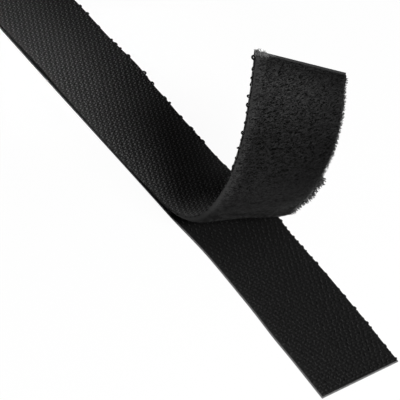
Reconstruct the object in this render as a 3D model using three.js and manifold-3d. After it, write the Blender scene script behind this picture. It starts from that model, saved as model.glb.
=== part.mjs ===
// Hook and loop tape: two woven strips pressed together and wound on a paperboard core.
// The loop strip's free end is peeled up from the hooks and curls back.
// Millimetres, +Z up, +X along the tape towards its cut end. The origin is on the back of the
// hook strip, at the middle of its width, where the peel starts.
import * as THREE from "three";
import Module from "manifold-3d";

// Tape
const TAPE_WIDTH = 25;
const HALF = TAPE_WIDTH / 2;
const SELVEDGE = 1.6; // plain woven edge without hooks
const PILE_SELVEDGE = 0.9; // plain woven edge without loops
const GROUND = 0.375; // woven ground of either strip
const HOOK_TOP = 1.25; // hook tips above the back of the hook strip
const PILE_BOTTOM = 1.375; // fluff level of the loops over the fastened hooks
const PILE_TOP = 2.0;
const LOOP_GROUND_BOTTOM = 2.125;
const LOOP_BACK = LOOP_GROUND_BOTTOM + GROUND;
const JOINT_GAP = 0.4; // between neighbouring lengths of one strip

// Bare end of the hook strip, past the peel
const BARE_LENGTH = 80.8;
const BARE_TURN = THREE.MathUtils.degToRad(2.17); // sideways bend of the bare end, towards -Y
const TURN_FROM = 0;
const TURN_TO = 51;

// Peeled flap of the loop strip
const FLAP_LENGTH = 72.75;
const FLAP_SEGMENTS = 12;
const SEGMENT = FLAP_LENGTH / FLAP_SEGMENTS;
const CURL_AT = [0, 8, 22, 45, 80]; // distances along the flap
const CURL = [0.034, 0.033, 0.042, 0.037, -0.015]; // curvature there, per millimetre
const SLANT_START = 0.49; // bend lines lean forwards on the +Y side, at the peel
const SLANT_END = 0.03; // and less at the flap's end

// Roll
const ROLL_X = -155; // the roll stands here, its tape leaving along the floor
const RUN_CLEAR = 0.3; // between the winding and the run
const TURNS = 9;
const STEPS = 24; // steps to a turn
const HOOK_LAYER = 1.125; // wound hook strip with its hooks
const LOOP_LAYER_FROM = 1.5625; // wound loop strip, depths below the turn's outer face
const LOOP_LAYER_TO = 2.5;
const PITCH = 2.9375;
const CORE_OUTER = 17;
const CORE_BORE = 14.5;
const CORE_WIDTH = 26;
const CORE_SIDES = 36;
const CORE_CLEAR = 0.5; // between the core and the inner turn
const ROLL_RADIUS = CORE_OUTER + CORE_CLEAR + LOOP_LAYER_TO + TURNS * PITCH;

// Hooks of the bare end, drawn coarser than the real field
const HOOK_PITCH_ALONG = 2.35;
const HOOK_PITCH_ACROSS = 2.3;
const HOOK_ROWS = 9;
const HOOK_RADIUS = 0.13;
const HOOK_LEAN = 0.12;
const HOOK_REACH = 0.55;
const HOOK_BARB = 0.85;
const SLICE = 0.1875; // backing slice that carries the hooks
const SLICE_MARGIN = 0.6; // plain ground between the slice and the peel or the cut end
const FIRST_HOOK = 2.4; // from the peel
const LAST_HOOK = 1.6; // from the cut end

const wasm = await Module();
wasm.setup();

const BLACK_NYLON = 0x202022;
const BLACK_PILE = 0x29292b;
const BLACK_HOOK = 0x17171a;
const KRAFT_BOARD = 0xb08d62;

const root = new THREE.Group();
root.name = "hook_and_loop_tape_roll";

function addMesh(group, name, geometry, color, roughness) {
  const material = new THREE.MeshStandardMaterial({ color, roughness, metalness: 0 });
  material.name = name;
  const mesh = new THREE.Mesh(geometry, material);
  mesh.name = name;
  group.add(mesh);
  return mesh;
}

// A flat piece with the given plan, between two heights.
function plate(outline, from, to) {
  const shape = new THREE.Shape(outline.map(([x, y]) => new THREE.Vector2(x, y)));
  const geometry = new THREE.ExtrudeGeometry(shape, { depth: to - from, bevelEnabled: false });
  return geometry.translate(0, 0, from);
}

// The middle line of the hook strip past the peel: a point and the heading there.
function bareAt(distance) {
  const stride = 0.25;
  let x = 0;
  let y = 0;
  for (let u = 0; u < distance - 1e-9; u += stride) {
    const step = Math.min(stride, distance - u);
    const heading = headingAt(u + step / 2);
    x += step * Math.cos(heading);
    y += step * Math.sin(heading);
  }
  return { x, y, heading: headingAt(distance) };
}

function headingAt(distance) {
  return -BARE_TURN * THREE.MathUtils.smoothstep(distance, TURN_FROM, TURN_TO);
}

// Tape coordinates of the bare end, along and across, to the plan.
function barePoint(along, across) {
  if (along <= 0) {
    return [along, across];
  }
  const { x, y, heading } = bareAt(along);
  return [x - across * Math.sin(heading), y + across * Math.cos(heading)];
}

// Slope of the flap's bend line at a distance from the peel: how far it runs ahead per width.
function slantAt(distance) {
  const share = THREE.MathUtils.clamp(distance / FLAP_LENGTH, 0, 1);
  return THREE.MathUtils.lerp(SLANT_START, SLANT_END, share);
}

function curvatureAt(distance) {
  if (distance < 0) {
    return 0;
  }
  let i = 0;
  while (i < CURL_AT.length - 2 && distance > CURL_AT[i + 1]) {
    i += 1;
  }
  const share = (distance - CURL_AT[i]) / (CURL_AT[i + 1] - CURL_AT[i]);
  return THREE.MathUtils.lerp(CURL[i], CURL[i + 1], share);
}

// Turn of the flap about one bend line: the curl of half a segment on either side of it.
function hingeAngle(distance) {
  const count = 40;
  const step = SEGMENT / count;
  let angle = 0;
  for (let i = 0; i < count; i += 1) {
    const at = distance - SEGMENT / 2 + (i + 0.5) * step;
    angle += curvatureAt(at) * Math.hypot(1, slantAt(at)) * step;
  }
  return angle;
}

// Hook strip: flat run from the roll, then the bare end.
const runStart = ROLL_X + RUN_CLEAR;
const bareStations = [0, 8, 16, 24, 32, 40, 48, 56, 64, 72, BARE_LENGTH];
function hookPlan(from, to, inset) {
  const stations = [from, ...bareStations.filter((u) => u > from && u < to), to];
  const left = stations.map((u) => barePoint(u, -HALF + inset));
  const right = stations.map((u) => barePoint(u, HALF - inset)).reverse();
  return [...left, ...right];
}
addMesh(root, "hook_tape", plate(hookPlan(runStart, BARE_LENGTH, 0), 0, GROUND), BLACK_NYLON, 0.75);

// Fastened run: the hooks and the pile between the two woven grounds, ending on the first bend line.
function runPlan(inset, short) {
  const edge = HALF - inset;
  return [
    [runStart, -edge],
    [-edge * SLANT_START - short, -edge],
    [edge * SLANT_START - short, edge],
    [runStart, edge],
  ];
}
const clear = JOINT_GAP / 2;
addMesh(root, "hooks_fastened", plate(runPlan(SELVEDGE, clear), GROUND, HOOK_TOP), BLACK_HOOK, 0.6);
addMesh(
  root,
  "loop_pile_fastened",
  plate(runPlan(PILE_SELVEDGE, clear), PILE_BOTTOM, PILE_TOP),
  BLACK_PILE,
  0.95,
);
addMesh(
  root,
  "loop_tape_fastened",
  plate(runPlan(0, clear), LOOP_GROUND_BOTTOM, LOOP_BACK),
  BLACK_NYLON,
  0.8,
);

// Hooks of the bare end: bent monofilaments in staggered rows, standing on a slice of the ground.
function hookSolid(along, across, way) {
  const stations = [
    { along: 0, up: GROUND + SLICE / 2, radius: HOOK_RADIUS },
    { along: HOOK_LEAN, up: HOOK_TOP - HOOK_RADIUS, radius: HOOK_RADIUS },
    { along: HOOK_REACH, up: HOOK_BARB, radius: HOOK_RADIUS * 0.6 },
  ];
  const tilt = [0, Math.PI / 3.2, Math.PI * 0.8];
  const positions = [];
  stations.forEach((station, ring) => {
    for (let side = 0; side < 3; side += 1) {
      const angle = (side / 3) * 2 * Math.PI;
      const flat = station.radius * Math.cos(angle);
      const lateral = station.radius * Math.sin(angle);
      const u = along + way * (station.along + flat * Math.cos(tilt[ring]));
      const [x, y] = barePoint(u, across + way * lateral);
      positions.push(x, y, station.up - flat * Math.sin(tilt[ring]));
    }
  });
  const triangles = [2, 1, 0, 6, 7, 8];
  for (let ring = 0; ring < 2; ring += 1) {
    for (let side = 0; side < 3; side += 1) {
      const a = ring * 3 + side;
      const b = ring * 3 + ((side + 1) % 3);
      triangles.push(a, b, b + 3, a, b + 3, a + 3);
    }
  }
  return new wasm.Manifold(
    new wasm.Mesh({
      numProp: 3,
      vertProperties: new Float32Array(positions),
      triVerts: new Uint32Array(triangles),
    }),
  );
}

function hookField() {
  const edge = HALF - SELVEDGE;
  const first = bareStations.filter((u) => u > 5.5);
  const right = first.map((u) => barePoint(Math.min(u, BARE_LENGTH - SLICE_MARGIN), edge));
  const left = first.map((u) => barePoint(Math.min(u, BARE_LENGTH - SLICE_MARGIN), -edge));
  const plan = [
    barePoint(-edge * SLANT_START + SLICE_MARGIN, -edge),
    barePoint(2, -edge),
    ...left,
    ...right.reverse(),
    barePoint(edge * SLANT_START + SLICE_MARGIN, edge),
  ];
  const slice = wasm.Manifold.extrude([plan], SLICE).translate([0, 0, GROUND]);
  const hooks = [];
  for (let row = 0; row < HOOK_ROWS; row += 1) {
    const across = (row - (HOOK_ROWS - 1) / 2) * HOOK_PITCH_ACROSS;
    const way = row % 2 ? 1 : -1;
    const shift = row % 2 ? HOOK_PITCH_ALONG / 2 : 0;
    const start = across * SLANT_START + FIRST_HOOK + shift;
    for (let u = start; u < BARE_LENGTH - LAST_HOOK; u += HOOK_PITCH_ALONG) {
      hooks.push(hookSolid(u, across, way));
    }
  }
  const field = wasm.Manifold.union([slice, ...hooks]);
  const mesh = field.getMesh();
  const geometry = new THREE.BufferGeometry();
  const points = new Float32Array(mesh.vertProperties);
  geometry.setAttribute("position", new THREE.BufferAttribute(points, 3));
  geometry.setIndex([...mesh.triVerts]);
  geometry.computeVertexNormals();
  console.log(`bare hooks: ${hooks.length}`);
  return geometry;
}
addMesh(root, "hooks_bare", hookField(), BLACK_HOOK, 0.5);

// Peeled flap: the loop strip in short lengths that turn on each other along the bend lines.
// Each length is drawn flat in tape coordinates and carried by the turns before it.
const hingeHeight = LOOP_GROUND_BOTTOM + GROUND / 2;
let carrier = root;
for (let i = 0; i < FLAP_SEGMENTS; i += 1) {
  const from = i * SEGMENT;
  const to = from + SEGMENT;
  const slant = slantAt(from);
  const last = i === FLAP_SEGMENTS - 1;
  const nextSlant = last ? 0 : slantAt(to);
  const endClear = last ? 0 : clear;
  const point = new THREE.Vector3(from, 0, hingeHeight);
  const axis = new THREE.Vector3(-slant, -1, 0).normalize();
  const turn = new THREE.Group();
  turn.name = `flap_${i + 1}`;
  turn.userData = { point, axis, angle: hingeAngle(from) };
  turn.matrix
    .makeTranslation(point.x, point.y, point.z)
    .multiply(new THREE.Matrix4().makeRotationAxis(axis, turn.userData.angle))
    .multiply(new THREE.Matrix4().makeTranslation(-point.x, -point.y, -point.z));
  turn.matrixAutoUpdate = false;
  carrier.add(turn);
  carrier = turn;
  const plan = (leftInset, rightInset) => {
    const left = -HALF + leftInset;
    const right = HALF - rightInset;
    return [
      [from + left * slant + clear, left],
      [to + left * nextSlant - endClear, left],
      [to + right * nextSlant - endClear, right],
      [from + right * slant + clear, right],
    ];
  };
  const ground = plate(plan(0, 0), LOOP_GROUND_BOTTOM, LOOP_BACK);
  const pile = plate(plan(SELVEDGE, PILE_SELVEDGE / 2), PILE_BOTTOM, PILE_TOP);
  addMesh(turn, `flap_tape_${i + 1}`, ground, BLACK_NYLON, 0.8);
  addMesh(turn, `flap_pile_${i + 1}`, pile, BLACK_PILE, 0.95);
}

// Winding: both strips run unbroken from the floor to the core, the hook strip's back outwards.
function windingPoint(turn, depth) {
  const angle = turn * 2 * Math.PI;
  const radius = ROLL_RADIUS - PITCH * turn - depth;
  return [ROLL_X - radius * Math.sin(angle), ROLL_RADIUS - radius * Math.cos(angle)];
}

function winding(outerDepth, innerDepth) {
  const count = TURNS * STEPS;
  const positions = [];
  const index = [];
  for (let i = 0; i <= count; i += 1) {
    const outer = windingPoint(i / STEPS, outerDepth);
    const inner = windingPoint(i / STEPS, innerDepth);
    positions.push(outer[0], -HALF, outer[1], outer[0], HALF, outer[1]);
    positions.push(inner[0], HALF, inner[1], inner[0], -HALF, inner[1]);
  }
  for (let i = 0; i < count; i += 1) {
    for (let k = 0; k < 4; k += 1) {
      const a = i * 4 + k;
      const b = i * 4 + ((k + 1) % 4);
      index.push(a, a + 4, b + 4, a, b + 4, b);
    }
  }
  const e = count * 4;
  index.push(0, 1, 2, 0, 2, 3, e, e + 2, e + 1, e, e + 3, e + 2);
  const geometry = new THREE.BufferGeometry();
  geometry.setAttribute("position", new THREE.Float32BufferAttribute(positions, 3));
  geometry.setIndex(index);
  geometry.computeVertexNormals();
  return geometry;
}
addMesh(root, "hook_tape_wound", winding(0, HOOK_LAYER), BLACK_NYLON, 0.8);
addMesh(root, "loop_tape_wound", winding(LOOP_LAYER_FROM, LOOP_LAYER_TO), BLACK_PILE, 0.9);

// Core: a paperboard tube that the inner turn lies on.
const coreProfile = [
  [CORE_BORE, -CORE_WIDTH / 2],
  [CORE_OUTER, -CORE_WIDTH / 2],
  [CORE_OUTER, CORE_WIDTH / 2],
  [CORE_BORE, CORE_WIDTH / 2],
  [CORE_BORE, -CORE_WIDTH / 2],
];
const core = new THREE.LatheGeometry(
  coreProfile.map(([r, h]) => new THREE.Vector2(r, h)),
  CORE_SIDES,
);
core.translate(ROLL_X, 0, ROLL_RADIUS);
addMesh(root, "core_tube", core, KRAFT_BOARD, 0.9);

// Least clearances of the wound strips, measured between points on one face and the steps of another.
function face(depth) {
  const points = [];
  for (let i = 0; i <= TURNS * STEPS; i += 1) {
    points.push(windingPoint(i / STEPS, depth));
  }
  return points;
}

function leastGap(depthA, depthB, turnsApart) {
  const a = face(depthA);
  const b = face(depthB);
  let least = Infinity;
  for (let i = 0; i + turnsApart * STEPS < a.length - 1; i += 1) {
    const j = i + turnsApart * STEPS;
    const p = [(b[j][0] + b[j + 1][0]) / 2, (b[j][1] + b[j + 1][1]) / 2];
    const along = [a[i + 1][0] - a[i][0], a[i + 1][1] - a[i][1]];
    const away = (p[0] - a[i][0]) * along[1] - (p[1] - a[i][1]) * along[0];
    least = Math.min(least, Math.abs(away) / Math.hypot(along[0], along[1]));
  }
  return least.toFixed(2);
}
console.log(`hook strip to its next turn: ${leastGap(HOOK_LAYER, 0, 1)} mm`);
console.log(`loop strip to its next turn: ${leastGap(LOOP_LAYER_TO, LOOP_LAYER_FROM, 1)} mm`);
console.log(`hook strip to loop strip: ${leastGap(HOOK_LAYER, LOOP_LAYER_FROM, 0)} mm`);
console.log(`loop strip to the hook strip inside it: ${leastGap(LOOP_LAYER_TO, 0, 1)} mm`);

export default root;
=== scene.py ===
import math

import bpy
import numpy as np
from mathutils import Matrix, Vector


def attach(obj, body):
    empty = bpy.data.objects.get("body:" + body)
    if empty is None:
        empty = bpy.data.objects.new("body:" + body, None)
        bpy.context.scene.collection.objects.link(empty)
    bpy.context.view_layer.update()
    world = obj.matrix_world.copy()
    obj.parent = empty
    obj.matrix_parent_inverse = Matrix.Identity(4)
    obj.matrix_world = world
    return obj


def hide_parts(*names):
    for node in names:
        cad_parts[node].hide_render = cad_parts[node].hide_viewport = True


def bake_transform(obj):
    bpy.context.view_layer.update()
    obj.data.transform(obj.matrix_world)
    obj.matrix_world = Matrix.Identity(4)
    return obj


# Black sew-on hook and loop tape. The hook strip lies on the floor with its cut end towards the
# camera, the loop strip is pressed on it and peels up into a curl, and the rest is on the roll.

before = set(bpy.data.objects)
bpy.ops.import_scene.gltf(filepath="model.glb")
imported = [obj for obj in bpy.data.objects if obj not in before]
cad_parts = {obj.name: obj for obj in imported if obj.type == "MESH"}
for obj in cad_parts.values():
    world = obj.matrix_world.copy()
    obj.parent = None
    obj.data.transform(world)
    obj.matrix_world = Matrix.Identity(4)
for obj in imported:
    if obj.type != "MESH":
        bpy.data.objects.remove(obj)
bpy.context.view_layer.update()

MM = 0.001

# The tape, in millimetres: heights are counted from the back of the hook strip.
HALF_WIDTH = 12.5
GROUND = 0.375
LOOP_BACK = 2.5
LOOP_ROOT = LOOP_BACK - GROUND
BEND_LEVEL = (LOOP_ROOT + LOOP_BACK) / 2
PILE_INSET = 1.1
PILE_PEEL_GAP = 0.2

# The bare end of the hook strip turns a little sideways on its way to the cut, and narrows.
BARE_LENGTH = 80.8
BARE_TURN = math.radians(2.17)
TURN_ENDS = 51.0
NARROWING = 0.03
NARROWING_STARTS = 55.0
NARROWING_SPAN = 27.0

# The hook strip isn't quite straight: it sways, bulges at +Y by the peel, and is cut at a slant.
SWAY_AT = (-155, -100, 0, 22, 42, 62, 82)
SWAY = (0.0, -0.6, 0.0, 0.65, 0.5, 0.1, -0.35)
BULGE_AT = (6, 15, 26)
BULGE = (0.0, 1.0, 0.0)
CUT_EXTRA = 0.7
CUT_SLANT = -0.04
RIM = 0.3
NEAR = 0.01
CUT_MARGIN = 1.0
ROLL_MARGIN = 2.0

# The peeled flap: its curl, and how far its bend lines run ahead across the width.
FLAP_LENGTH = 72.75
BENDS = 12
BEND_STEP = FLAP_LENGTH / BENDS
CURL_AT = (0, 8, 22, 45, 80)
CURL = (0.034, 0.033, 0.042, 0.037, -0.015)
SLANT_START = 0.49
SLANT_END = 0.03
FLAP_CUT_EXTRA = 0.45
FLAP_CUT_SLANT = -0.03
FUSED_END = 0.8

# Hooks on the bare end: the spacing of their rows, how far they stay from its edges, and how much
# they stray, swing and differ in height.
HOOK_FIRST_ROW = -5.0
HOOK_ROW_STEP = 1.92
HOOK_STEP = 1.385
HOOK_SHIFT = 0.69
HOOK_SIDE = 10.8
HOOK_PEEL_GAP = 1.0
HOOK_STRAY = 0.07
HOOK_SWING = 0.2
HOOK_HEIGHTS = (0.93, 1.02)

# Picots of the selvedges: their spacing, and how much they stray, swing and differ.
HOOK_PICOT_STEP = 2.4
RUN_PICOT_STEP = 2.6
RUN_PICOTS_END = 5.0
FLAP_PICOT_STEP = 2.5
FLAP_PICOTS_START = -8.5
FLAP_PICOTS_END = FLAP_LENGTH - 0.5
PICOT_SUNK = 0.05
PICOT_STRAY = 0.35
PICOT_SWING = 0.25
PICOT_REACHES = (0.45, 1.35)
PICOT_LENGTHS = (0.6, 1.5)
PICOT_GIRTHS = (0.8, 1.3)

# The loop strip's selvedges wander, and on the run they lift or droop. Left is -Y, right is +Y.
EDGE_AT = (-155, -105, -62, -48, -30, -10, 18, 44, 52, 62, 69, 74)
LEFT_EDGE = (12.5, 12.9, 12.6, 12.5, 12.5, 12.5, 12.5, 12.8, 12.8, 13.2, 13.6, 14.0)
RIGHT_EDGE = (12.5, 13.1, 13.2, 13.0, 12.6, 12.5, 12.6, 13.1, 13.7, 13.7, 13.05, 12.9)
LIFT_AT = (-155, -120, -98, -78, -62, -47, -30, -12)
LEFT_LIFT = (-0.4, -1.0, -0.2, 0.0, -0.8, -1.4, -1.4, -0.9)
RIGHT_LIFT = (0.0, 0.8, 1.0, 0.3, 1.0, -0.3, -0.8, -1.6)
LIFT_ENDS = 16.0

# Pile on the peeled flap: pulled long where the hooks have just let go of it, and more so at +Y.
NAP_AT = (0, 12, 20, 28, 36, 46, 73)
NAP_DEPTH = (0.5, 1.6, 1.8, 1.5, 1.1, 1.05, 1.0)
NAP_PULLED = (0.0, 0.6, 0.8, 0.2, 0.0, 0.0, 0.0)
NAP_TAPER = (0.0, 0.0, 0.1, 0.5, 0.3, 0.1, 0.0)
NAP_TAPER_WIDTH = 7.0
NAP_LEFT_EDGE = 2.6
NAP_RIGHT_EDGE = 1.4
NAP_CUT_EDGE = 0.6
NAP_SHELL = 0.3
NAP_INSET = 0.4
NAP_INSET_STARTS = 34.0
NAP_INSET_SPAN = 16.0

# Loops on that pile: how much they differ, then how many each length of the flap has, where they
# lie, and their tones, from 0 for dark to 1 for light. Their tones are darker near the peel as
# painted shade, and paler at the -Y selvedge as painted light.
LOOP_LENGTHS = (0.7, 1.4)
LOOP_GIRTHS = (0.7, 1.3)
LOOP_RISES = (0.3, 1.0)
LOOPS_EACH = 420
LOOPS_LEFT_GAP = 0.8
LOOPS_RIGHT_GAP = 0.7
LOOPS_CUT_GAP = 0.4
LOOPS_SUNK = 0.06
TANGLED_LENGTHS = (2, 3, 4)
SETTLING_STARTS = 16.0
SETTLING_SPAN = 36.0
PEEL_SHADED_TONE = 0.14
UNSHADED_TONE_GAIN = 0.16
FRESH_MIX = 0.05
MIX_SHAPE = (1.0, 1.8)
MIX_MIDDLE = 0.3
PAINTED_LIGHT_SIDE = -8.5
PAINTED_LIGHT_WIDTH = 4.0
PAINTED_LIGHT_GAIN = 1.2

# Fringe of loose fibres at the flap's +Y selvedge, pulled long on the first lengths, and paler
# towards the peel as painted backlight.
PULLED_LENGTHS = 7
PULLED_FRINGE = {"count": 105, "beyond": 1.0, "rise": 1.6, "length": 0.85, "girth": 1.7}
SHORT_FRINGE = {"count": 90, "beyond": 0.2, "rise": 1.0, "length": 0.45, "girth": 1.0}
FRINGE_INSIDE = 0.2
FRINGE_FACE = 1.2
FRINGE_LEVELS = (0.1, 0.9)
FRINGE_TONE = 0.18
FRINGE_BACKLIGHT_GAIN = 0.3
FRINGE_BACKLIGHT_BEFORE = 46.0
FRINGE_BACKLIGHT_SPAN = 18.0

# Frayed fibres at the -Y corner of the flap's cut end.
FRAYED_FIBRES = 70
FRAYED_SIDE = 0.3
FRAYED_SPREAD = 1.6
FRAYED_SHORT = 0.15
FRAYED_DEPTH = 0.5
FRAYED_OUT = 0.2
FRAYED_TONES = (0.2, 0.6)

# The roll.
ROLL_X = -155.0
TURNS = 9
TURN_GAP = 0.4375
PITCH = LOOP_BACK + TURN_GAP
CORE_OUTER = 17.0
CORE_BORE = 14.5
CORE_GAP = 0.5
CORE_HALF_WIDTH = 13.0
CORE_RIM = 0.35
ROLL_RADIUS = CORE_OUTER + CORE_GAP + LOOP_BACK + TURNS * PITCH
WOUND_PILE = 1.95
WOUND_LOOP_GROUND = 0.4
WOUND_LOOP_RISE = 0.3
WOUND_RISE_TURNS = 0.2

# Fibres that stick out of the locked pile: their number, and where they lie.
RUN_FLUFF = 1600
ROLL_FLUFF = 3600
FLUFF_LEVEL = 0.9
RUN_FLUFF_ENDS = (ROLL_X + 1, 2)
RUN_FLUFF_SIDES = (-11.95, 11.0)
ROLL_FLUFF_SIDES = (-11.0, 11.0)
CORE_MARGIN = 4.0

# How finely the meshes are divided, and the angles from which their edges stay sharp.
HOOK_STEPS = 240
RUN_STEPS = 140
FLAP_STEPS = 10
TURN_STEPS = 72
WIDTH_STEPS = 24
LOCKED_STEPS = (80, 12)
FELT_STEPS = (14, 44)
CORE_SIDES = 96
SHARP_STRIP = math.radians(40)
SHARP_CORE = math.radians(35)

# Camera, found from the outline of the tape in the photograph.
CAMERA_TARGET = (0.09, -1.336, 0.0)
CAMERA_AZIMUTH = math.radians(58.316)
CAMERA_ELEVATION = math.radians(42.148)
CAMERA_DISTANCE = 497.06
CAMERA_LENS = 154.07
CAMERA_SENSOR = 36.0
CAMERA_CLIP = 0.01

# Studio: how much of the floor's white is its own glow, and the dim light from all round.
FLOOR_SIZE = 6.0
FLOOR_DROP = 0.0001
FLOOR_GLOW = 0.95
FILL_LIGHT = 0.02

chance = np.random.default_rng(25)


# Where a point of the tape lies: along, across and above, in millimetres.

def ease(share):
    share = np.clip(share, 0, 1)
    return share * share * (3 - 2 * share)


def along_table(place, places, values):
    """Reads a value between the places where it is known, without a kink."""
    places = np.asarray(places, float)
    values = np.asarray(values, float)
    before = np.clip(np.searchsorted(places, place) - 1, 0, len(places) - 2)
    share = ease((place - places[before]) / (places[before + 1] - places[before]))
    return values[before] + (values[before + 1] - values[before]) * share


def by_side(along, across, places, left, right):
    """Reads the left table at -Y and the right one at +Y."""
    return np.where(across < 0, along_table(along, places, left), along_table(along, places, right))


# The middle line of the hook strip, in short steps to a little past its cut end.
LINE_STEP = 0.2
LINE_PAST_CUT = 3.0
line_at = np.arange(ROLL_X, BARE_LENGTH + LINE_PAST_CUT, LINE_STEP)
line_heading = -BARE_TURN * ease(line_at / TURN_ENDS)
line_x = np.cumsum(np.cos(line_heading)) * LINE_STEP
line_y = np.cumsum(np.sin(line_heading)) * LINE_STEP
line_x -= np.interp(0, line_at, line_x)
line_y -= np.interp(0, line_at, line_y)


def on_hook_strip(along, across, above):
    narrowed = 1 - NARROWING * ease((along - NARROWING_STARTS) / NARROWING_SPAN)
    across = across * narrowed + along_table(along, SWAY_AT, SWAY)
    bulge = along_table(along, BULGE_AT, BULGE) * across / HALF_WIDTH
    across = across + np.where(across > 0, bulge, 0)
    heading = np.interp(along, line_at, line_heading)
    x = np.interp(along, line_at, line_x) - across * np.sin(heading)
    y = np.interp(along, line_at, line_y) + across * np.cos(heading)
    return np.stack([x, y, above + 0 * x], -1)


def slant(distance):
    return SLANT_START + (SLANT_END - SLANT_START) * np.clip(distance / FLAP_LENGTH, 0, 1)


def spun(turn, axis):
    """Three directions, turned about an axis by its own length in radians."""
    angle = np.linalg.norm(axis)
    if angle == 0:
        return turn
    axis = axis / angle
    return (
        turn * math.cos(angle)
        + np.cross(axis, turn) * math.sin(angle)
        + np.outer(turn @ axis, axis) * (1 - math.cos(angle))
    )


def curl_frames():
    """The loop strip's middle line with its directions along, across and up, curling past the peel."""
    stride, before_run, past_cut = 0.25, 10, 20
    distance = np.arange(ROLL_X - before_run, FLAP_LENGTH + past_cut, stride)
    curl = np.where(distance < 0, 0, np.interp(distance, CURL_AT, CURL))
    place = np.array([distance[0], 0, BEND_LEVEL])
    turn = np.eye(3)
    rows = []
    for bend, slope in zip(curl, slant(distance)):
        rows.append(np.concatenate([place, turn.ravel()]))
        axis = -(turn[1] + slope * turn[0]) * bend * stride
        half = spun(turn, axis / 2)
        place = place + half[0] * stride
        turn = spun(turn, axis)
    return distance, np.array(rows)


curl_at, curl_rows = curl_frames()


def bend_line_of(along, across):
    """Distance of the bend line that goes through a point of the flat loop strip."""
    start = along - across * SLANT_START
    inside = start / (1 + across * (SLANT_END - SLANT_START) / FLAP_LENGTH)
    end = along - across * SLANT_END
    return np.where(start < 0, start, np.where(inside < FLAP_LENGTH, inside, end))


def lift(along, across):
    """How far the run's edges stand over its middle; none at the roll and at the peel."""
    line = bend_line_of(along, across)
    fades = ease(-line / LIFT_ENDS) * ease((along - ROLL_X) / LIFT_ENDS)
    edge = by_side(along, across, LIFT_AT, LEFT_LIFT, RIGHT_LIFT)
    return edge * (across / HALF_WIDTH) ** 2 * fades


def on_loop_strip(along, across, above):
    above = above + lift(along, across)
    across = across * by_side(along, across, EDGE_AT, LEFT_EDGE, RIGHT_EDGE) / HALF_WIDTH
    line = bend_line_of(along, across)
    row = np.stack([np.interp(line, curl_at, column) for column in curl_rows.T], -1)
    middle, ahead, aside, up = row[..., 0:3], row[..., 3:6], row[..., 6:9], row[..., 9:12]
    across = np.asarray(across)[..., None]
    above = (above - BEND_LEVEL)[..., None]
    return middle + across * (aside + slant(line)[..., None] * ahead) + above * up


def between_strips(along, across, above):
    """A point of the locked pile, squeezed where the loop strip droops and drawn out where it lifts."""
    return on_hook_strip(along, across, above + lift(along, across) * above / LOOP_ROOT)


def rounded(distance, width):
    share = np.clip(distance / width, 0, 1)
    return np.sqrt(1 - (1 - share) ** 2)


def hook_cut(across):
    return BARE_LENGTH + CUT_EXTRA + CUT_SLANT * across


def flap_cut(across):
    return FLAP_LENGTH + FLAP_CUT_EXTRA + FLAP_CUT_SLANT * across


def nap_level(along, across):
    """Face of the brushed pile: pressed flat at the peel, round at its edges."""
    line = bend_line_of(along, across)
    depth = along_table(line, NAP_AT, NAP_DEPTH)
    depth = depth + along_table(line, NAP_AT, NAP_PULLED) * ease(across / HALF_WIDTH)
    taper = along_table(line, NAP_AT, NAP_TAPER)
    depth = depth * (1 - taper * ease(1 - (HALF_WIDTH - across) / NAP_TAPER_WIDTH))
    depth = depth * rounded(HALF_WIDTH + across, NAP_LEFT_EDGE)
    depth = depth * rounded(HALF_WIDTH - across, NAP_RIGHT_EDGE)
    return LOOP_ROOT - depth * rounded(flap_cut(across) - FUSED_END - along, NAP_CUT_EDGE)


def on_nap(along, across, out):
    return on_loop_strip(along, across, nap_level(along, across) - out)


def tape_on(turns):
    """Length of tape on the roll's outermost turns."""
    return math.pi * turns * (2 * ROLL_RADIUS - PITCH * turns)


WOUND_LENGTH = tape_on(TURNS)


def on_roll(along, across, above):
    """Tape behind the run is on the roll, and its back is the outside of each turn."""
    wound = np.maximum(ROLL_X - along, 0)
    turn = (ROLL_RADIUS - np.sqrt(ROLL_RADIUS**2 - PITCH * wound / math.pi)) / PITCH
    radius = ROLL_RADIUS - PITCH * turn - above
    x = ROLL_X - radius * np.sin(turn * 2 * math.pi)
    z = ROLL_RADIUS - radius * np.cos(turn * 2 * math.pi)
    return np.stack([x, across + 0 * x, z], -1)


# Node helpers. A value is a number or a socket, and each helper gives back the socket it makes.

NYLON_IOR = 1.53
WEAVE_WANDER = (0.5, 0.35, 0.0)


def linear(code):
    channels = [int(code[i : i + 2], 16) / 255 for i in (1, 3, 5)]
    return tuple(
        c / 12.92 if c <= 0.04045 else ((c + 0.055) / 1.055) ** 2.4 for c in channels
    ) + (1.0,)


def fill(tree, node, inputs):
    """Gives a node's sockets their links and constants."""
    for key, value in inputs.items():
        if isinstance(value, bpy.types.NodeSocket):
            tree.links.new(value, node.inputs[key])
        else:
            node.inputs[key].default_value = value


def add(tree, kind, inputs=None, **settings):
    """Adds a node with its settings, its constants and its links."""
    made = tree.nodes.new(kind)
    for key, value in settings.items():
        setattr(made, key, value)
    fill(tree, made, inputs or {})
    return made


def noise(tree, place, scale, detail, roughness=0.5, distortion=0.0, output="Fac"):
    look = {"Scale": scale, "Detail": detail, "Roughness": roughness, "Distortion": distortion}
    return add(tree, "ShaderNodeTexNoise", {"Vector": place, **look}).outputs[output]


def ramp(tree, value, span, ends, shape="SMOOTHSTEP"):
    """Goes from the first of its ends to the last while a value goes over its span."""
    limits = {1: span[0], 2: span[1], 3: ends[0], 4: ends[1]}
    return add(
        tree, "ShaderNodeMapRange", {"Value": value, **limits}, interpolation_type=shape
    ).outputs[0]


def worked(tree, operation, *values, **settings):
    """Arithmetic on values."""
    return add(
        tree, "ShaderNodeMath", dict(enumerate(values)), operation=operation, **settings
    ).outputs[0]


def product(tree, value, *factors):
    for factor in factors:
        value = worked(tree, "MULTIPLY", value, factor)
    return value


def between(tree, share, dark, light):
    """A colour between a dark and a light one."""
    return add(tree, "ShaderNodeMix", {0: share, 6: dark, 7: light}, data_type="RGBA").outputs[2]


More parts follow.
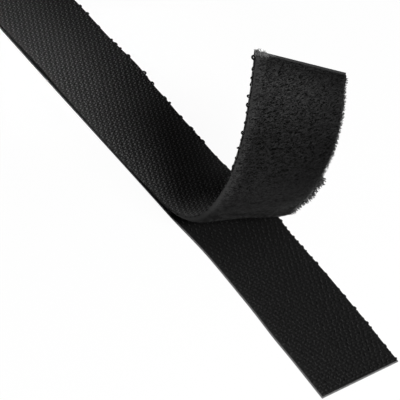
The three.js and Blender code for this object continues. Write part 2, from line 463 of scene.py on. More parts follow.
def raise_up(tree, height, strength, distance):
    """A bump, whose distance is in metres."""
    look = {"Height": height, "Strength": strength, "Distance": distance}
    return add(tree, "ShaderNodeBump", look).outputs[0]


def on_tape(tree):
    """The tape's own millimetres from its UV map: the place, and its distances along and across."""
    tape = add(tree, "ShaderNodeUVMap", uv_map="tape").outputs[0]
    split = add(tree, "ShaderNodeSeparateXYZ", {0: tape})
    return tape, split.outputs[0], split.outputs[1]


def own_tone(tree, dark, light):
    """A colour between two, by the tone that each filament keeps."""
    tone = add(tree, "ShaderNodeAttribute", attribute_name="tone")
    return between(tree, tone.outputs["Fac"], linear(dark), linear(light))


def new_material(name):
    material = bpy.data.materials.new(name)
    material.use_nodes = True
    tree = material.node_tree
    return material, tree, tree.nodes["Principled BSDF"]


# Materials.

def woven(tree, tape, threads, repeat, skew):
    """Height of a weave: a sum of waves over its repeat, in millimetres along and across, which is
    skewed a little. Each thread is a wave with its cycles along and across, strength and lag."""
    wander = noise(tree, tape, scale=0.5, detail=2.0, output="Color")
    pulled = add(
        tree,
        "ShaderNodeVectorMath",
        {0: wander, 1: WEAVE_WANDER, 2: tape},
        operation="MULTIPLY_ADD",
    )
    height = 0.0
    for cycles_along, cycles_across, strength, lag in threads:
        turn = (
            2 * math.pi * cycles_along / repeat[0],
            2 * math.pi * (cycles_across / repeat[1] + cycles_along * skew),
            0.0,
        )
        phase = add(
            tree, "ShaderNodeVectorMath", {0: pulled.outputs[0], 1: turn}, operation="DOT_PRODUCT"
        )
        late = worked(tree, "ADD", phase.outputs["Value"], math.radians(lag))
        height = worked(tree, "MULTIPLY_ADD", worked(tree, "COSINE", late), strength, height)
    return height


def woven_nylon(name, darks, light, repeat, skew, threads, bound, sides, fold, relief_and_glints):
    """Black nylon tape, woven and dyed: matt, with staggered floats and dark pits between them, drawn
    coarse enough to show; the floats' light colour is in part a painted glint. The darks are the pits
    at -Y and +Y, paler at -Y and darker at +Y as painted shade, bound is how much of the weave shows at
    the -Y selvedge, sides are painted light on the floats at -Y and painted shade on them at +Y, fold
    is the painted shade on them by the peel, and the relief pair sets the weave's bump and its painted
    glints far from the peel and near it."""
    material, tree, shader = new_material(name)
    tape, along, across = on_tape(tree)
    weave = woven(tree, tape, threads, repeat, skew)

    # Floats are uneven and frayed into filaments, and their height changes along the tape and across;
    # towards the peel it grows, deepening the bump and painting stronger glints on the floats.
    uneven = noise(tree, tape, scale=0.8, detail=3.0, roughness=0.75)
    strength = ramp(tree, uneven, (0.3, 0.7), (0.42, 1.1), "LINEAR")
    fibres = noise(tree, tape, scale=2.6, detail=2.0, roughness=0.9)
    stray = ramp(tree, fibres, (0.25, 0.75), (-3.1, 3.1), "LINEAR")
    floats = worked(tree, "MULTIPLY_ADD", weave, strength, stray)
    drawn = ramp(tree, along, (-110.0, -10.0), relief_and_glints, "LINEAR")
    tight = ramp(tree, across, (-12.3, -9.8), (bound, 1.0))
    floats = product(tree, floats, drawn, tight)

    # Painted light and shade on the floats: light at -Y, shade towards +Y and by the peel.
    high = ramp(tree, floats, (-2.6, 3.4), (0.0, 1.0), "LINEAR")
    right = ramp(tree, across, (-9.0, 12.3), (1.0, sides[1]))
    left = ramp(tree, across, (-12.3, -9.0), (sides[0], 1.0))
    shaded = ramp(tree, along, (12.0, 36.0), (fold, 1.0))
    lit = product(tree, worked(tree, "POWER", high, 2.4), right, left, shaded)
    # The pits are darker towards +Y, as painted shade.
    pit_shade = ramp(tree, across, (-12.5, 10.0), (0.0, 1.0), "LINEAR")
    pits = between(tree, pit_shade, linear(darks[0]), linear(darks[1]))
    look = {
        "Base Color": between(tree, lit, pits, linear(light)),
        "Normal": raise_up(tree, floats, strength=0.3, distance=0.00003),
        "Roughness": 0.55,
        "IOR": NYLON_IOR,
        "Specular IOR Level": 0.004,
        "Sheen Weight": 0.015,
        "Sheen Roughness": 0.5,
    }
    fill(tree, shader, look)
    return material


def sheared_edge(name, dark, light):
    """Nylon tape cut by a hot blade, its threads fused into a smooth edge; a pale pair of colours also
    paints a highlight, on cut and uncut edges alike.
    """
    material, tree, shader = new_material(name)
    tape = add(tree, "ShaderNodeUVMap", uv_map="tape").outputs[0]
    ends = noise(tree, tape, scale=1.6, detail=4.0)
    look = {
        "Base Color": between(tree, ends, linear(dark), linear(light)),
        "Roughness": 0.5,
        "IOR": NYLON_IOR,
        "Specular IOR Level": 0.04,
    }
    fill(tree, shader, look)
    return material


def hook_filament():
    """Drawn nylon monofilament, black all through, smooth with a small highlight on every crook."""
    material, tree, shader = new_material("black nylon monofilament")
    look = {
        "Base Color": own_tone(tree, "#181818", "#2c2c2c"),
        "Roughness": 0.45,
        "IOR": NYLON_IOR,
        "Specular IOR Level": 0.08,
    }
    fill(tree, shader, look)
    return material


def nylon_yarn():
    """Spun nylon yarn at the selvedge, black all through, dull."""
    material, tree, shader = new_material("black nylon yarn")
    colour = own_tone(tree, "#050505", "#0e0e0e")
    fill(tree, shader, {"Base Color": colour, "Roughness": 0.8, "Specular IOR Level": 0.05})
    return material


def nap_fibre(name, dark, light):
    """Crimped nylon fibre of the pile, matt, every one a little lighter or darker."""
    material, tree, shader = new_material(name)
    colour = own_tone(tree, dark, light)
    fill(tree, shader, {"Base Color": colour, "Roughness": 0.8, "Specular IOR Level": 0.04})
    return material


def combed_nap():
    """Brushed nylon pile seen as a felted face: smooth where it has just come off the hooks, then
    broken by short dark gaps that run across the tape, with painted light and shade along the flap
    and painted light at its selvedges."""
    material, tree, shader = new_material("brushed nylon pile, felted")
    tape, along, across = on_tape(tree)
    combed = add(
        tree,
        "ShaderNodeMapping",
        {"Vector": tape, "Scale": (0.31, 0.85, 1), "Rotation": (0, 0, -0.5)},
        vector_type="TEXTURE",
    )
    tufts = noise(tree, combed.outputs[0], scale=1.0, detail=3.0, roughness=0.6, distortion=1.4)
    tuft_span = (0.38, 0.6)

    # Dark gaps between the tufts, once the nap is brushed up.
    gap = ramp(tree, tufts, tuft_span, (1.0, -0.35))
    brushed = ramp(tree, along, (20.0, 46.0), (0.06, 0.42))
    sparse = ramp(tree, along, (52.0, 66.0), (1.0, 0.7))
    dark = product(tree, gap, brushed, sparse)

    # Painted light: a flecked band lit along the -Y selvedge higher up the flap, and pale rims at
    # both selvedges painted as highlights.
    stipple = noise(tree, tape, scale=2.4, detail=1.0, roughness=0.7)
    flecks = ramp(tree, stipple, (0.3, 0.7), (0.3, 1.0), "LINEAR")
    freed = ramp(tree, along, (16.0, 38.0), (0.0, 1.0))
    parted = ramp(tree, tufts, tuft_span, (0.45, 1.2))
    standing = product(tree, flecks, freed, parted)
    lit_left_band = ramp(tree, across, (-12.6, -8.5), (standing, 0.0))
    rim = ramp(tree, across, (11.6, 12.5), (0.0, 0.2))
    lit_left_rim = ramp(tree, across, (-12.5, -11.4), (0.6, 0.0))
    edges = worked(tree, "ADD", worked(tree, "ADD", lit_left_band, rim), lit_left_rim)

    # Painted light and shade along the flap: painted shade low down by the peel and at -Y there,
    # darker at +Y higher up and a little darker from the middle up, paler towards the cut end and
    # darker again at it. Each band changes the tone along the tape.
    painted_bands = (
        ((18.0, 34.0), (0.25, 1.3)),
        ((36.0, 44.0), (1.0, 0.8)),
        ((50.0, 65.0), (1.0, 2.2)),
        ((66.0, 72.0), (1.0, 0.55)),
    )
    shade_higher_right = ramp(tree, along, (22.0, 44.0), (1.05, 0.62))
    turned = ramp(tree, along, (12.0, 30.0), (0.5, 1.05))
    laid = ramp(tree, across, (-4.0, 11.0), (turned, shade_higher_right))
    flat = product(tree, worked(tree, "SUBTRACT", 0.27, dark), laid)
    for span, ends in painted_bands:
        flat = product(tree, flat, ramp(tree, along, span, ends))
    pale = worked(tree, "ADD", flat, edges, use_clamp=True)
    look = {
        "Base Color": between(tree, pale, linear("#020202"), linear("#343434")),
        "Normal": raise_up(tree, dark, strength=0.5, distance=-0.0003),
        "Roughness": 0.9,
        "Specular IOR Level": 0.02,
        "Sheen Weight": 0.05,
        "Sheen Roughness": 0.35,
    }
    fill(tree, shader, look)
    return material


def kraft_board():
    """Kraft paperboard: brown and fibrous."""
    material, tree, shader = new_material("kraft paperboard")
    place = add(tree, "ShaderNodeTexCoord").outputs["Object"]
    fibres = noise(tree, place, scale=700.0, detail=6.0, roughness=0.65)
    look = {
        "Base Color": between(tree, fibres, linear("#8a6a45"), linear("#c2a078")),
        "Normal": raise_up(tree, fibres, strength=0.3, distance=0.0002),
        "Roughness": 0.85,
    }
    fill(tree, shader, look)
    return material


# The loop strip and the wound strips show the same weave, and the hook strip's face another one.
BACK_WEAVE = {
    "repeat": (4.08, 1.495),
    "skew": -0.027,
    "threads": (
        (1, 1, 0.72, 0),
        (1, -1, 0.43, 0),
        (3, 1, 0.8, -60),
        (3, -1, 0.35, -95),
        (0, 2, 0.55, 25),
        (4, 0, 0.65, -55),
        (4, 2, 0.4, -45),
        (5, 1, 0.3, -20),
    ),
    "light": "#707070",
    "bound": 0.5,
    "fold": 1.0,
}
# Painted light at -Y and painted shade towards +Y come from the darks and sides of each weave,
# and the loop strip's floats take painted glints that grow towards the peel.
LOOP_WEAVE = woven_nylon(
    "woven black nylon, loop strip",
    darks=("#171717", "#020202"),
    sides=(1.5, 0.4),
    relief_and_glints=(0.9, 1.95),
    **BACK_WEAVE,
)
WOUND_WEAVE = woven_nylon(
    "woven black nylon, wound strips",
    darks=("#121212", "#121212"),
    sides=(1.2, 0.9),
    relief_and_glints=(1.0, 1.0),
    **BACK_WEAVE,
)
# Its sides paint light at -Y and shade towards +Y, and its fold paints shade by the peel.
HOOK_WEAVE = woven_nylon(
    "woven black nylon, hook strip",
    darks=("#111111", "#0f0f0f"),
    light="#3a3a3a",
    repeat=(3.84, 1.42),
    skew=0.0,
    threads=(
        (1, 1, 0.44, 0),
        (1, -1, 0.55, 0),
        (3, 1, 0.5, 45),
        (2, 0, 0.15, -25),
        (4, 0, 0.75, 50),
        (3, -1, 0.2, 110),
    ),
    bound=1.0,
    sides=(1.5, 0.7),
    fold=0.35,
    relief_and_glints=(1.0, 1.1),
)
# Pale grey: on the hook strip's cut end the fused cut plus a painted highlight,
# and on its -Y selvedge only a painted highlight.
SHEARED_AND_LIT_EDGE = sheared_edge("sheared nylon edge", "#424242", "#808080")
FUSED = sheared_edge("fused nylon end", "#161616", "#2e2e2e")
HOOK_WIRE = hook_filament()
NAP = combed_nap()
FIBRE = nap_fibre("crimped nylon fibre", "#020202", "#2c2c2c")
# Its pale tones are painted backlight: this shader lets no light through the fibres.
BACKLIT_FIBRE = nap_fibre("loose nylon fibre, painted as backlit", "#141414", "#a0a0a0")
YARN = nylon_yarn()
BOARD = kraft_board()


# Making pieces.

def choose(*pieces):
    """Selects pieces and no others, the first of them active."""
    bpy.ops.object.select_all(action="DESELECT")
    for piece in pieces:
        piece.select_set(True)
    bpy.context.view_layer.objects.active = pieces[0]


def laid_strip(name, steps, lay, thickness, material):
    """A grid of steps along and across, laid on the tape by lay(x, y), each from 0 to 1, then given
    its thickness. It keeps the tape's own millimetres as its UV map."""
    bpy.ops.mesh.primitive_grid_add(x_subdivisions=steps[0], y_subdivisions=steps[1], size=1)
    piece = bpy.context.object
    piece.name = name
    piece.data.name = name
    corners = np.empty(len(piece.data.vertices) * 3)
    piece.data.vertices.foreach_get("co", corners)
    tape_along, tape_across, points = lay(corners[0::3] + 0.5, corners[1::3] + 0.5)
    piece.data.vertices.foreach_set("co", (points * MM).ravel())
    order = np.empty(len(piece.data.loops), int)
    piece.data.loops.foreach_get("vertex_index", order)
    tape = piece.data.uv_layers[0]
    tape.name = "tape"
    tape.data.foreach_set("uv", np.stack([tape_along[order], tape_across[order]], -1).ravel())
    piece.data.update()
    solid = piece.modifiers.new("thickness", "SOLIDIFY")
    solid.thickness = thickness * MM
    solid.offset = -1
    bpy.ops.object.modifier_apply(modifier=solid.name)
    bpy.ops.object.shade_smooth_by_angle(angle=SHARP_STRIP)
    piece.data.materials.append(material)
    return piece


def rimmed(share, rows, length, rim):
    """Spreads the rows of a grid over a length, the last one as narrow as the rim."""
    step = share * rows
    return (length - rim) * np.minimum(step / (rows - 1), 1) + rim * np.maximum(step - (rows - 1), 0)


def shear(piece, material, cut):
    """Gives edges of a strip a second material: a cut end its fused surface, an uncut selvedge a painted
    highlight; cut(along, across) picks them.
    """
    piece.data.materials.append(material)
    tape = piece.data.uv_layers["tape"].data
    for face in piece.data.polygons:
        places = np.array([tape[i].uv for i in face.loop_indices])
        if cut(places[:, 0], places[:, 1]).all():
            face.material_index = 1


def filament(sides, radius, start, faces, draws, bend=None):
    """One filament: a ring of few sides, drawn out step by step, and then spun round a bend."""
    bpy.ops.mesh.primitive_circle_add(
        vertices=sides,
        radius=radius * MM,
        location=Vector(start) * MM,
        rotation={
            "up": (0, 0, 0),
            "along": (0, math.pi / 2, 0),
            "across": (math.pi / 2, 0, 0),
        }[faces],
    )
    piece = bpy.context.object
    bpy.ops.object.transform_apply(location=True, rotation=True, scale=True)
    bpy.ops.object.mode_set(mode="EDIT")
    bpy.ops.mesh.select_all(action="SELECT")
    for draw in draws:
        bpy.ops.mesh.extrude_region_move(TRANSFORM_OT_translate={"value": Vector(draw) * MM})
    if bend:
        centre, axis, angle, steps = bend
        bpy.ops.mesh.spin(
            steps=steps, angle=math.radians(angle), center=Vector(centre) * MM, axis=axis
        )
    bpy.ops.mesh.select_all(action="SELECT")
    bpy.ops.mesh.region_to_loop()
    bpy.ops.mesh.edge_face_add()
    bpy.ops.mesh.select_all(action="SELECT")
    bpy.ops.mesh.normals_make_consistent(inside=False)
    bpy.ops.object.mode_set(mode="OBJECT")
    return piece


def planted(name, model, place, roots, sizes, turns, tones, material):
    """Copies of one modelled filament, each turned, sized and rooted on a strip, as one mesh.
    Each copy keeps its own tone, from dark to light, for the material."""
    shape = np.empty(len(model.data.vertices) * 3)
    model.data.vertices.foreach_get("co", shape)
    shape = shape.reshape(-1, 3) / MM
    corners = np.empty(len(model.data.loops), int)
    model.data.loops.foreach_get("vertex_index", corners)
    starts = np.empty(len(model.data.polygons), int)
    model.data.polygons.foreach_get("loop_start", starts)
    count = len(roots)
    local = shape[None] * sizes[:, None]
    cosine = np.cos(turns)[:, None]
    sine = np.sin(turns)[:, None]
    along = roots[:, :1] + local[..., 0] * cosine - local[..., 1] * sine
    across = roots[:, 1:2] + local[..., 0] * sine + local[..., 1] * cosine
    points = place(along, across, roots[:, 2:] + local[..., 2])
    copies = np.arange(count)[:, None]
    mesh = bpy.data.meshes.new(name)
    mesh.vertices.add(count * len(shape))
    mesh.vertices.foreach_set("co", (points * MM).ravel())
    mesh.loops.add(count * len(corners))
    mesh.loops.foreach_set("vertex_index", (corners[None] + copies * len(shape)).ravel())
    mesh.polygons.add(count * len(starts))
    mesh.polygons.foreach_set("loop_start", (starts[None] + copies * len(corners)).ravel())
    mesh.update(calc_edges=True)
    mesh.shade_smooth()
    tone = mesh.attributes.new("tone", "FLOAT", "POINT")
    tone.data.foreach_set("value", np.repeat(tones, len(shape)).astype(np.float32))
    mesh.materials.append(material)
    piece = bpy.data.objects.new(name, mesh)
    bpy.context.scene.collection.objects.link(piece)
    choose(piece)
    bpy.ops.object.mode_set(mode="EDIT")
    bpy.ops.mesh.select_all(action="SELECT")
    bpy.ops.mesh.normals_make_consistent(inside=False)
    bpy.ops.object.mode_set(mode="OBJECT")
    return piece


def joined(name, *pieces):
    choose(*pieces)
    bpy.ops.object.join()
    pieces[0].name = name
    pieces[0].data.name = name
    return pieces[0]


# One of each filament: a hook, a picot of the selvedge, and two loops of the pile.

hook_model = filament(
    sides=5,
    radius=0.11,
    start=(0, 0, 0.2),
    faces="up",
    draws=[(0.03, 0, 0.65)],
    bend=((0.32, 0, 0.88), (0, 1, 0), 165, 5),
)
picot_model = filament(
    sides=6,
    radius=0.17,
    start=(-0.3, -0.2, 0),
    faces="across",
    draws=[(0, 0.2, 0)],
    bend=((0, 0, 0), (0, 0, 1), 180, 6),
)
crimps = (
    [(0.3, 0.12, 0.45), (0.4, -0.16, 0.25), (0.5, 0.2, 0.1), (0.5, 0.14, -0.1), (0.4, -0.2, -0.55)],
    [(0.35, -0.2, 0.3), (0.4, 0.28, 0.35), (0.4, 0.15, 0.05), (0.5, -0.3, -0.1), (0.4, 0.1, -0.5)],
)
loop_models = [
    filament(sides=3, radius=0.075, start=(-1.0, 0, -0.1), faces="along", draws=crimp)
    for crimp in crimps
]


def picots(name, place, starts, edge, above, reach, length, bare):
    """Small thread loops along a selvedge, where the weft turns back. Their places, reach and length
    vary, and a share of them, bare, is pulled in out of sight."""
    starts = starts[chance.random(len(starts)) > bare]
    count = len(starts)
    side = np.sign(edge)
    along = starts + chance.normal(0, PICOT_STRAY, count)
    roots = np.stack([along, np.full(count, edge - side * PICOT_SUNK), np.full(count, above)], -1)
    out = side * (reach * chance.uniform(*PICOT_REACHES, count))
    width = length * chance.uniform(*PICOT_LENGTHS, count)
    sizes = np.stack([width, out, chance.uniform(*PICOT_GIRTHS, count)], -1)
    tones = chance.random(count)
    turns = chance.normal(0, PICOT_SWING, count)
    return planted(name, picot_model, place, roots, sizes, turns, tones, YARN)


def pile(name, place, along, across, out, tones, material, rise, length, spread, girth=1.0, lean=0.0):
    """Crimped loops lying on a pile, mostly across the tape: they stand up by rise, their directions
    spread, and lean turns them all."""
    out = np.broadcast_to(out, len(along))
    halves = []
    for i, model in enumerate(loop_models):
        rows = slice(i, None, len(loop_models))
        count = len(along[rows])
        roots = np.stack([along[rows], across[rows], out[rows]], -1)
        reach = chance.uniform(*LOOP_LENGTHS, count) * length
        width = girth * chance.choice([-1.0, 1.0], count) * chance.uniform(*LOOP_GIRTHS, count)
        sizes = np.stack([reach, width, rise * chance.uniform(*LOOP_RISES, count)], -1)
        turns = chance.normal(math.pi / 2 - lean, spread, count)
        turns = turns + math.pi * (chance.random(count) < 0.5)
        halves.append(
            planted(f"{name}_{i}", model, place, roots, sizes, turns, tones[rows], material)
        )
    return joined(name, *halves)


def edge_fluff(name, place, along, sides, tones):
    """Fibres of the locked pile that stick out between the two grounds, at either selvedge."""
    count = len(along)
    across = np.where(chance.random(count) < 0.5, sides[0], sides[1])
    tones = chance.uniform(*tones, count)
    where = (along, across, FLUFF_LEVEL)
    return pile(name, place, *where, tones, FIBRE, rise=0.9, length=0.45, spread=1.2)


# Hook strip: the woven ground from the roll to the cut end, with picots on its +Y selvedge.

def lay_hook_ground(x, y):
    across = HALF_WIDTH - rimmed(1 - y, WIDTH_STEPS, 2 * HALF_WIDTH, RIM)
    along = ROLL_X + rimmed(x, HOOK_STEPS, hook_cut(across) - ROLL_X, RIM)
    return along, across, on_hook_strip(along, across, GROUND)


def hook_strip_cut_and_lit_edges(along, across):
    return (along > hook_cut(across) - RIM - NEAR) | (across < RIM + NEAR - HALF_WIDTH)


hook_ground = laid_strip(
    "hook_strip_ground", (HOOK_STEPS, WIDTH_STEPS), lay_hook_ground, GROUND, HOOK_WEAVE
)
# Its cut end is fused and pale with a painted highlight; its -Y selvedge takes a painted highlight.
shear(hook_ground, SHEARED_AND_LIT_EDGE, hook_strip_cut_and_lit_edges)
hook_picots = picots(
    "hook_strip_picots",
    on_hook_strip,
    np.arange(ROLL_X + ROLL_MARGIN, BARE_LENGTH - CUT_MARGIN, HOOK_PICOT_STEP),
    edge=HALF_WIDTH,
    above=0.2,
    reach=0.85,
    length=1.2,
    bare=0.2,
)


def bare_hook_roots():
    """Hooks stand in rows across the strip, every other row set over by half."""
    roots = []
    rows = np.arange(HOOK_FIRST_ROW, BARE_LENGTH - CUT_MARGIN, HOOK_ROW_STEP)
    for row, along in enumerate(rows):
        for across in np.arange(HOOK_SHIFT * (row % 2) - HOOK_SIDE, HOOK_SIDE, HOOK_STEP):
            if along > across * SLANT_START + HOOK_PEEL_GAP:
                roots.append((along, across, 0))
    return np.array(roots)


def bare_hooks():
    """Every other hook is turned back, and no two are quite alike."""
    roots = bare_hook_roots()
    count = len(roots)
    roots[:, :2] += chance.normal(0, HOOK_STRAY, (count, 2))
    way = np.where(np.arange(count) % 2, 1.0, -1.0)
    sizes = np.stack([way, np.ones(count), chance.uniform(*HOOK_HEIGHTS, count)], -1)
    turns = chance.normal(0, HOOK_SWING, count)
    tones = chance.random(count)
    return planted(
        "hooks_on_bare_end", hook_model, on_hook_strip, roots, sizes, turns, tones, HOOK_WIRE
    )


hooks = bare_hooks()


# Fastened run: hooks and loops locked together between the grounds, the loop strip's back up.

def lay_locked(x, y):
    across = (2 * y - 1) * (HALF_WIDTH - PILE_INSET)
    along = ROLL_X + (across * SLANT_START - PILE_PEEL_GAP - ROLL_X) * x
    return along, across, between_strips(along, across, LOOP_ROOT)


def lay_loop_run(x, y):
    across = (2 * y - 1) * HALF_WIDTH
    end = -BEND_STEP / 2 + across * SLANT_START
    along = ROLL_X + (end - ROLL_X) * x
    return along, across, on_loop_strip(along, across, LOOP_BACK)


locked_depth = LOOP_ROOT - GROUND + max(RIGHT_LIFT)
locked = laid_strip("locked_hooks_and_loops", LOCKED_STEPS, lay_locked, locked_depth, NAP)
for corner in locked.data.vertices:
    corner.co.z = max(corner.co.z, GROUND * MM)
loop_run = laid_strip(
    "loop_strip_fastened", (RUN_STEPS, WIDTH_STEPS), lay_loop_run, GROUND, LOOP_WEAVE
)
run_picots = picots(
    "loop_strip_run_picots",
    on_loop_strip,
    np.arange(ROLL_X + ROLL_MARGIN, RUN_PICOTS_END, RUN_PICOT_STEP),
    edge=HALF_WIDTH,
    above=2.3,
    reach=1.4,
    length=1.7,
    bare=0.3,
)
# The run's fluff takes light tones: painted light on the shaded sides of the fastened stack.
side_fluff = edge_fluff(
    "fluff_between_strips",
    between_strips,
    chance.uniform(*RUN_FLUFF_ENDS, RUN_FLUFF),
    sides=RUN_FLUFF_SIDES,
    tones=(0.6, 1.0),
)


# Peeled flap: one length of ground and pile about each bend line.

def flap_span(bend, across):
    """Where one length of the flap starts and ends, at places across its width."""
    first = (bend - 0.5) * BEND_STEP
    last = (bend + 0.5) * BEND_STEP
    start = first + across * slant(first)
    end = last + across * slant(last) if bend < BENDS - 1 else flap_cut(across)
    return start, end


def flap_end_fused(along, across):
    return along > flap_cut(across) - FUSED_END - NEAR


def flap_ground(bend):
    """The woven ground of one length, with picots on its -Y selvedge."""
    def lay(x, y):
        across = (2 * y - 1) * HALF_WIDTH
        start, end = flap_span(bend, across)
        along = start + rimmed(x, FLAP_STEPS, end - start, FUSED_END)
        return along, across, on_loop_strip(along, across, LOOP_BACK)

    name = f"flap_ground_{bend + 1}"
    ground = laid_strip(name, (FLAP_STEPS, WIDTH_STEPS), lay, GROUND, LOOP_WEAVE)
    if bend == BENDS - 1:
        shear(ground, FUSED, flap_end_fused)
    start, end = flap_span(bend, np.array(-HALF_WIDTH))
    starts = np.arange(FLAP_PICOTS_START, FLAP_PICOTS_END, FLAP_PICOT_STEP)
    edging = picots(
        name + "_picots",
        on_loop_strip,
        starts[(starts >= start) & (starts < end)],
        edge=-HALF_WIDTH,
        above=2.2,
        reach=1.3,
        length=1.15,
        bare=0.0,
    )
    return joined(name, ground, edging)


def flap_felt(bend, name):
    """The felted face of the pile on one length, closed round at the cut end."""
    def lay(x, y):
        inset = NAP_INSET / 2 * ease(((bend + x) * BEND_STEP - NAP_INSET_STARTS) / NAP_INSET_SPAN)
        across = inset + (HALF_WIDTH - inset) * np.sin((y - 0.5) * math.pi)
        start, end = flap_span(bend, across)
        end = np.minimum(end, flap_cut(across) - FUSED_END)
        along = start + (end - start) * (np.sin(x * math.pi / 2) if bend == BENDS - 1 else x)
        return along, across, on_nap(along, across, -NAP_SHELL)

    return laid_strip(name, FELT_STEPS, lay, NAP_SHELL, NAP)


def strewn(bend, count, low, high):
    """Places scattered over one length of the flap, between two distances across it."""
    across = chance.uniform(low, high, count)
    start, end = flap_span(bend, across)
    end = np.minimum(end, flap_cut(across) - FUSED_END - LOOPS_CUT_GAP)
    return start + (end - start) * chance.random(count), across


def flap_loops(bend, name):
    """Loops on the felt: much alike near the peel and darker there as painted shade, of mixed tones
    where the nap has come to rest, paler at the -Y selvedge as painted light, and standing up more
    where the pile was pulled long."""
    low, high = -HALF_WIDTH + LOOPS_LEFT_GAP, HALF_WIDTH - LOOPS_RIGHT_GAP
    along, across = strewn(bend, LOOPS_EACH, low, high)
    settled_and_unshaded = ease((along - SETTLING_STARTS) / SETTLING_SPAN)
    mixed = chance.beta(*MIX_SHAPE, len(along)) - MIX_MIDDLE
    mixed = mixed * (FRESH_MIX + (1 - FRESH_MIX) * settled_and_unshaded)
    # Painted shade: the tones are darker near the peel and rise away from it.
    tones = PEEL_SHADED_TONE + UNSHADED_TONE_GAIN * settled_and_unshaded + mixed
    # Painted light: the loops are paler towards the -Y selvedge.
    pale = 1 + PAINTED_LIGHT_GAIN * ease((PAINTED_LIGHT_SIDE - across) / PAINTED_LIGHT_WIDTH)
    tones = np.clip(tones * pale, 0, 1)
    rise = 0.4 if bend in TANGLED_LENGTHS else 0.2
    name = name + "_loops"
    where = (along, across, -LOOPS_SUNK)
    return pile(name, on_nap, *where, tones, FIBRE, rise, length=0.6, spread=0.4, lean=0.5)


def flap_fringe(bend, name):
    """Loose fibres at the +Y selvedge, pulled long on the lower lengths and paler towards the peel as
    painted backlight.
    """
    fringe = PULLED_FRINGE if bend < PULLED_LENGTHS else SHORT_FRINGE
    low, high = HALF_WIDTH - FRINGE_INSIDE, HALF_WIDTH + fringe["beyond"]
    along, across = strewn(bend, fringe["count"], low, high)
    face = nap_level(along, np.minimum(across, HALF_WIDTH - FRINGE_FACE))
    level = face + chance.uniform(*FRINGE_LEVELS, len(along))
    # Painted backlight: the fringe is paler towards the peel.
    lightest = FRINGE_TONE + FRINGE_BACKLIGHT_GAIN * ease((FRINGE_BACKLIGHT_BEFORE - along) / FRINGE_BACKLIGHT_SPAN)
    tones = chance.random(len(along)) * lightest
    name = name + "_fringe"
    where = (along, across, level)
    size = {key: fringe[key] for key in ("rise", "length", "girth")}
    return pile(name, on_loop_strip, *where, tones, BACKLIT_FIBRE, spread=0.6, **size)


def frayed_corner(name):
    """Fibres that fray out at the cut end, most of them at its -Y corner."""
    across = -HALF_WIDTH + FRAYED_SIDE + np.abs(chance.normal(0, FRAYED_SPREAD, FRAYED_FIBRES))
    behind = np.abs(chance.normal(0, FRAYED_DEPTH, FRAYED_FIBRES))
    along = flap_cut(across) - FRAYED_SHORT - behind
    level = nap_level(along - CUT_MARGIN, across) - FRAYED_OUT
    tones = chance.uniform(*FRAYED_TONES, FRAYED_FIBRES)
    name = name + "_frayed"
    where = (along, across, level)
    return pile(name, on_loop_strip, *where, tones, BACKLIT_FIBRE, rise=0.7, length=0.7, spread=0.8)


def flap_pile(bend):
    name = f"flap_nap_{bend + 1}"
    layers = [flap_felt(bend, name), flap_loops(bend, name), flap_fringe(bend, name)]
    if bend == BENDS - 1:
        layers.append(frayed_corner(name))
    return joined(name, *layers)


flap_grounds = [flap_ground(bend) for bend in range(BENDS)]
flap_piles = [flap_pile(bend) for bend in range(BENDS)]


# Roll: both grounds wound from the floor to the core, with the locked pile between them.

def wound(name, material, half_width, above, thickness, rise=0.0, columns=8):
    """A layer of the roll. It may rise, at the start, from its level on the run."""
    def lay(x, y):
        turn = TURNS * x
        along = ROLL_X - tape_on(turn)
        across = (2 * y - 1) * half_width
        level = above + rise * ease(turn / WOUND_RISE_TURNS)
        return along, across, on_roll(along, across, level)

    return laid_strip(name, (TURNS * TURN_STEPS, columns), lay, thickness, material)


wound_hook = wound("hook_strip_wound", WOUND_WEAVE, HALF_WIDTH, above=0, thickness=GROUND)
wound_pile = wound(
    "locked_pile_wound", NAP, HALF_WIDTH - PILE_INSET, above=GROUND, thickness=WOUND_PILE, columns=6
)
wound_loop = wound(
    "loop_strip_wound",
    WOUND_WEAVE,
    HALF_WIDTH,
    above=LOOP_ROOT,
    thickness=WOUND_LOOP_GROUND,
    rise=WOUND_LOOP_RISE,
)
wound_fluff = edge_fluff(
    "fluff_on_roll",
    on_roll,
    ROLL_X - chance.uniform(ROLL_MARGIN, WOUND_LENGTH - CORE_MARGIN, ROLL_FLUFF),
    sides=ROLL_FLUFF_SIDES,
    tones=(0, 0.5),
)


# Core: a tube with its ends eased.

def core_tube():
    bpy.ops.mesh.primitive_cylinder_add(
        vertices=CORE_SIDES,
        radius=CORE_OUTER * MM,
        depth=2 * CORE_HALF_WIDTH * MM,
        end_fill_type="NOTHING",
        location=(ROLL_X * MM, 0, ROLL_RADIUS * MM),
        rotation=(math.pi / 2, 0, 0),
    )
    tube = bpy.context.object
    tube.name = "core_board_tube"
    bpy.ops.object.transform_apply(location=True, rotation=True, scale=True)
    wall = tube.modifiers.new("wall", "SOLIDIFY")
    wall.thickness = (CORE_OUTER - CORE_BORE) * MM
    wall.offset = -1
    bpy.ops.object.modifier_apply(modifier=wall.name)
    rim = tube.modifiers.new("rim", "BEVEL")
    rim.width = CORE_RIM * MM
    rim.segments = 2
    rim.limit_method = "ANGLE"
    bpy.ops.object.modifier_apply(modifier=rim.name)
    bpy.ops.object.shade_smooth_by_angle(angle=SHARP_CORE)
    tube.data.materials.append(BOARD)
    return tube


core = core_tube()

for model in [hook_model, picot_model, *loop_models]:
    bpy.data.objects.remove(model)

# What each piece stands for and moves with.

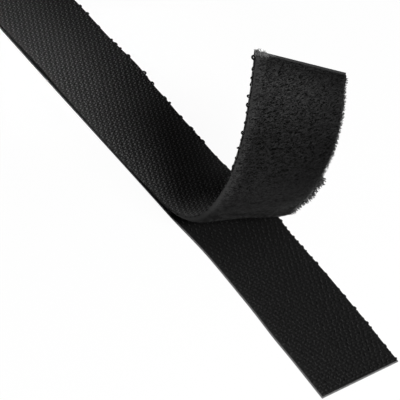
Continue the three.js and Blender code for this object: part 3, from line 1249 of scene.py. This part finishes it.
fixed = {
    hook_ground: (("hook_tape",), "woven_nylon"),
    hook_picots: ((), "woven_nylon"),
    hooks: (("hooks_bare",), "hook_monofilament"),
    locked: (("hooks_fastened", "loop_pile_fastened"), "loop_pile"),
    loop_run: (("loop_tape_fastened",), "woven_nylon"),
    run_picots: ((), "woven_nylon"),
    side_fluff: ((), "loop_pile"),
    wound_hook: (("hook_tape_wound",), "woven_nylon"),
    wound_pile: ((), "loop_pile"),
    wound_loop: (("loop_tape_wound",), "woven_nylon"),
    wound_fluff: ((), "loop_pile"),
    core: (("core_tube",), "core_board"),
}
for piece, (nodes, finish) in fixed.items():
    if nodes:
        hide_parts(*nodes)
    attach(piece, "fastened_tape")


for bend in range(BENDS):
    for piece, node, finish in (
        (flap_grounds[bend], f"flap_tape_{bend + 1}", "woven_nylon"),
        (flap_piles[bend], f"flap_pile_{bend + 1}", "loop_pile"),
    ):
        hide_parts(node)
        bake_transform(piece)


# Floor, light and camera.

def studio_paper():
    """White paper that glows for the camera, and for all other light is plain."""
    paper, tree, shader = new_material("white studio paper")
    fill(tree, shader, {"Base Color": linear("#ffffff"), "Roughness": 0.9})
    path = add(tree, "ShaderNodeLightPath")
    share = worked(tree, "MULTIPLY", path.outputs["Is Camera Ray"], FLOOR_GLOW)
    glow = add(tree, "ShaderNodeEmission", {"Color": (1, 1, 1, 1), "Strength": 1.0})
    mixed = add(
        tree, "ShaderNodeMixShader", {0: share, 1: shader.outputs[0], 2: glow.outputs[0]}
    )
    fill(tree, tree.nodes["Material Output"], {"Surface": mixed.outputs[0]})
    return paper


bpy.ops.mesh.primitive_plane_add(size=FLOOR_SIZE, location=(0, 0, -FLOOR_DROP))
floor = bpy.context.object
floor.name = "floor"
floor.data.materials.append(studio_paper())


def direction(azimuth, elevation):
    """Points from the tape to a lamp or the camera, by its angles in radians."""
    level = math.cos(elevation)
    return Vector((math.sin(azimuth) * level, -math.cos(azimuth) * level, math.sin(elevation)))


def softbox(name, azimuth, elevation, distance, size, power, aim=(0, 0, 0), spread=180):
    """A square lamp that looks at a point, placed by its directions and distance from that point."""
    away = direction(math.radians(azimuth), math.radians(elevation))
    light = bpy.data.lights.new(name, "AREA")
    light.size = size
    light.energy = power
    light.spread = math.radians(spread)
    lamp = bpy.data.objects.new(name, light)
    lamp.location = Vector(aim) + away * distance
    lamp.rotation_euler = away.to_track_quat("Z", "Y").to_euler()
    bpy.context.scene.collection.objects.link(lamp)


softbox("key", azimuth=100, elevation=36, distance=0.7, size=0.22, power=4.9)
softbox("front", azimuth=90, elevation=40, distance=0.7, size=0.1, power=1.4)
far_run = {"aim": (-0.088, -0.014, 0), "spread": 8}
softbox("far_left", azimuth=335, elevation=42, distance=0.4, size=0.06, power=0.007, **far_run)
softbox("behind", azimuth=268, elevation=9, distance=1.0, size=0.3, power=2.0)
softbox("low_left", azimuth=322, elevation=6, distance=1.0, size=0.12, power=3.4)
softbox("low_right", azimuth=212, elevation=3, distance=1.0, size=0.08, power=3.0)


def studio_world():
    """White to the camera and in reflections, and dim to everything that it lights."""
    world = bpy.data.worlds.new("studio")
    world.use_nodes = True
    sky = world.node_tree
    sky.nodes.clear()
    path = add(sky, "ShaderNodeLightPath").outputs
    seen = worked(sky, "MAXIMUM", path["Is Camera Ray"], path["Is Transmission Ray"])
    seen = worked(sky, "MAXIMUM", seen, path["Is Glossy Ray"])
    white = add(sky, "ShaderNodeBackground", {"Color": (1, 1, 1, 1), "Strength": 1.0})
    dim = add(sky, "ShaderNodeBackground", {"Color": (1, 1, 1, 1), "Strength": FILL_LIGHT})
    mixed = add(sky, "ShaderNodeMixShader", {0: seen, 1: dim.outputs[0], 2: white.outputs[0]})
    add(sky, "ShaderNodeOutputWorld", {"Surface": mixed.outputs[0]})
    return world


bpy.context.scene.world = studio_world()

back = direction(CAMERA_AZIMUTH, CAMERA_ELEVATION)
lens = bpy.data.cameras.new("camera")
lens.lens = CAMERA_LENS
lens.sensor_width = CAMERA_SENSOR
lens.clip_start = CAMERA_CLIP
camera = bpy.data.objects.new("camera", lens)
camera.location = (Vector(CAMERA_TARGET) + back * CAMERA_DISTANCE) * MM
camera.rotation_euler = back.to_track_quat("Z", "Y").to_euler()
bpy.context.scene.collection.objects.link(camera)
bpy.context.scene.camera = camera
bpy.context.scene.view_settings.view_transform = "Standard"
